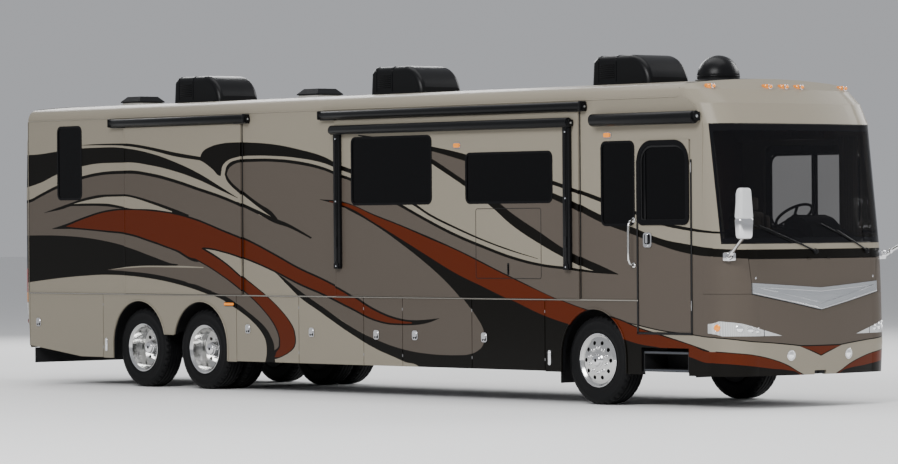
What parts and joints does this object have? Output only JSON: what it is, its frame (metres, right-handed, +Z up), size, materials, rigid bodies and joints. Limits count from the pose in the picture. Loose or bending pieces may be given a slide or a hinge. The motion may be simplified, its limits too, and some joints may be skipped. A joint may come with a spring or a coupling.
{
  "type": "tag-axle motorhome",
  "caption": "Long rear-engined motorhome with slide-out rooms, hinged luggage-bay doors, entry door, steered front wheels, twin-tyred drive axle and a tag axle.",
  "frame": {"origin": "on the ground under the middle of the overall length and width", "axes": "+X forward, +Y to the driver's side, +Z up"},
  "size_m": [13.949, 3, 4.0267],
  "materials": {
    "black_metal": "satin black",
    "cast_black": "painted black",
    "structure": "satin",
    "door_paint": "gloss paint",
    "seat_leather": "soft",
    "cab_plastic": "soft matt",
    "body_paint": "gloss two-tone paint",
    "dark_glass": "tinted",
    "lamp_clear": "clear",
    "bright_trim": "polished",
    "mirror_shell": "gloss",
    "flap_rubber": "matt",
    "polished_alloy": "polished",
    "roof_skin": "satin",
    "black_plastic": "matt",
    "lamp_red": "gloss",
    "tyre_rubber": "matt",
    "screen_glass": "clear"
  },
  "bodies": {
    "coach": {"awning_cases": "black_metal", "axles": "cast_black", "basement": "structure", "cab_seats": "seat_leather", "chassis_frame": "black_metal", "dashboard": "cab_plastic", "engine_block": "cast_black", "front_cap": "body_paint", "headlamps": "lamp_clear", "mirrors": "mirror_shell", "mud_flaps": "flap_rubber", "rear_cap": "body_paint", "roof": "roof_skin", "roof_gear": "black_plastic", "side_windows": "dark_glass", "signal_lamps": "lamp_red", "wall_left": "body_paint", "wall_right": "body_paint", "windshield": "screen_glass", "wipers": "black_metal"},
    "steering_wheel": {"steering_wheel": "cab_plastic"},
    "knuckle_right": {"knuckle_right": "cast_black"},
    "knuckle_left": {"knuckle_left": "cast_black"},
    "front_wheel_right": {"tyre_front_right": "tyre_rubber", "rim_front_right": "polished_alloy"},
    "front_wheel_left": {"tyre_front_left": "tyre_rubber", "rim_front_left": "polished_alloy"},
    "drive_wheel_right": {"tyre_drive_right": "tyre_rubber", "rim_drive_right": "polished_alloy"},
    "drive_wheel_left": {"tyre_drive_left": "tyre_rubber", "rim_drive_left": "polished_alloy"},
    "tag_wheel_right": {"tyre_tag_right": "tyre_rubber", "rim_tag_right": "polished_alloy"},
    "tag_wheel_left": {"tyre_tag_left": "tyre_rubber", "rim_tag_left": "polished_alloy"},
    "entry_door": {"entry_door": "body_paint", "entry_door_glass": "dark_glass"},
    "entry_step": {"entry_step": "black_metal"},
    "hood": {"hood": "body_paint", "hood_trim": "bright_trim"},
    "engine_door": {"engine_door": "door_paint"},
    "slideout_front": {"slideout_front": "body_paint", "slideout_front_glass": "dark_glass", "patio_awning": "black_metal"},
    "slideout_bedroom": {"slideout_bedroom": "body_paint"},
    "slideout_driver_side": {"slideout_driver_side": "body_paint", "slideout_driver_side_glass": "dark_glass"},
    "bay_door_rear": {"bay_door_rear": "door_paint"},
    "bay_door_left_1": {"bay_door_left_1": "door_paint"},
    "bay_door_left_2": {"bay_door_left_2": "door_paint"},
    "bay_door_left_3": {"bay_door_left_3": "door_paint"},
    "bay_door_right_1": {"bay_door_right_1": "door_paint"},
    "bay_door_right_2": {"bay_door_right_2": "door_paint"},
    "bay_door_right_3": {"bay_door_right_3": "door_paint"},
    "bay_door_right_4": {"bay_door_right_4": "door_paint"},
    "bay_door_right_5": {"bay_door_right_5": "door_paint"}
  },
  "joints": [
    {"name": "steer_right", "type": "hinge", "parent": "coach", "child": "knuckle_right", "pos_m": [4.36, -0.9, 0.508], "axis": [0, 0, 1], "range_deg": [-45, 45]},
    {"name": "steer_left", "type": "hinge", "parent": "coach", "child": "knuckle_left", "pos_m": [4.36, 0.9, 0.508], "axis": [0, 0, 1], "range_deg": [-45, 45]},
    {"name": "steering_wheel_turn", "type": "hinge", "parent": "coach", "child": "steering_wheel", "pos_m": [5.7, 0.6, 2.14], "axis": [-0.5736, 0, 0.8192], "range_deg": [-630, 630]},
    {"name": "roll_front_right", "type": "hinge", "parent": "knuckle_right", "child": "front_wheel_right", "pos_m": [4.36, -1.087, 0.508], "axis": [0, 1, 0], "continuous": true},
    {"name": "roll_drive_right", "type": "hinge", "parent": "coach", "child": "drive_wheel_right", "pos_m": [-3.01, -1.087, 0.508], "axis": [0, 1, 0], "continuous": true},
    {"name": "roll_tag_right", "type": "hinge", "parent": "coach", "child": "tag_wheel_right", "pos_m": [-4.31, -1.087, 0.508], "axis": [0, 1, 0], "continuous": true},
    {"name": "roll_front_left", "type": "hinge", "parent": "knuckle_left", "child": "front_wheel_left", "pos_m": [4.36, 1.087, 0.508], "axis": [0, 1, 0], "continuous": true},
    {"name": "roll_drive_left", "type": "hinge", "parent": "coach", "child": "drive_wheel_left", "pos_m": [-3.01, 1.087, 0.508], "axis": [0, 1, 0], "continuous": true},
    {"name": "roll_tag_left", "type": "hinge", "parent": "coach", "child": "tag_wheel_left", "pos_m": [-4.31, 1.087, 0.508], "axis": [0, 1, 0], "continuous": true},
    {"name": "entry_door_swing", "type": "hinge", "parent": "coach", "child": "entry_door", "pos_m": [5.96, -1.295, 1.9], "axis": [0, 0, 1], "range_deg": [0, 90]},
    {"name": "bay_right_1_swing", "type": "hinge", "parent": "coach", "child": "bay_door_right_1", "pos_m": [-1.01, -1.295, 0.78], "axis": [0, 0, 1], "range_deg": [0, 90]},
    {"name": "bay_right_2_swing", "type": "hinge", "parent": "coach", "child": "bay_door_right_2", "pos_m": [0.245, -1.295, 0.78], "axis": [0, 0, 1], "range_deg": [0, 90]},
    {"name": "bay_right_3_swing", "type": "hinge", "parent": "coach", "child": "bay_door_right_3", "pos_m": [0.976, -1.295, 0.78], "axis": [0, 0, 1], "range_deg": [0, 90]},
    {"name": "bay_right_4_swing", "type": "hinge", "parent": "coach", "child": "bay_door_right_4", "pos_m": [2.245, -1.295, 0.78], "axis": [0, 0, 1], "range_deg": [0, 90]},
    {"name": "bay_right_5_swing", "type": "hinge", "parent": "coach", "child": "bay_door_right_5", "pos_m": [3.53, -1.295, 0.78], "axis": [0, 0, 1], "range_deg": [0, 90]},
    {"name": "bay_left_1_swing", "type": "hinge", "parent": "coach", "child": "bay_door_left_1", "pos_m": [-0.33, 1.295, 0.78], "axis": [0, 0, -1], "range_deg": [0, 90]},
    {"name": "bay_left_2_swing", "type": "hinge", "parent": "coach", "child": "bay_door_left_2", "pos_m": [1.6, 1.295, 0.78], "axis": [0, 0, -1], "range_deg": [0, 90]},
    {"name": "bay_left_3_swing", "type": "hinge", "parent": "coach", "child": "bay_door_left_3", "pos_m": [3.53, 1.295, 0.78], "axis": [0, 0, -1], "range_deg": [0, 90]},
    {"name": "bay_rear_swing", "type": "hinge", "parent": "coach", "child": "bay_door_rear", "pos_m": [-5.09, -1.295, 0.78], "axis": [0, 0, 1], "range_deg": [0, 90]},
    {"name": "hood_lift", "type": "hinge", "parent": "coach", "child": "hood", "pos_m": [6.683, 0, 1.664], "axis": [0, -1, 0], "range_deg": [0, 70]},
    {"name": "engine_door_lift", "type": "hinge", "parent": "coach", "child": "engine_door", "pos_m": [-6.974, 0, 1.564], "axis": [0, 1, 0], "range_deg": [0, 80]},
    {"name": "slideout_front_travel", "type": "slide", "parent": "coach", "child": "slideout_front", "axis": [0, -1, 0], "range_m": [0, 0.8]},
    {"name": "slideout_bedroom_travel", "type": "slide", "parent": "coach", "child": "slideout_bedroom", "axis": [0, -1, 0], "range_m": [0, 0.6]},
    {"name": "slideout_driver_side_travel", "type": "slide", "parent": "coach", "child": "slideout_driver_side", "axis": [0, 1, 0], "range_m": [0, 0.8]},
    {"name": "entry_step_travel", "type": "slide", "parent": "coach", "child": "entry_step", "axis": [0, -1, 0], "range_m": [0, 0.28]}
  ],
  "couplings": [
    {"joint": "steer_right", "follows": "steer_left", "ratio": 1},
    {"joint": "steering_wheel_turn", "follows": "steer_left", "ratio": 14}
  ]
}
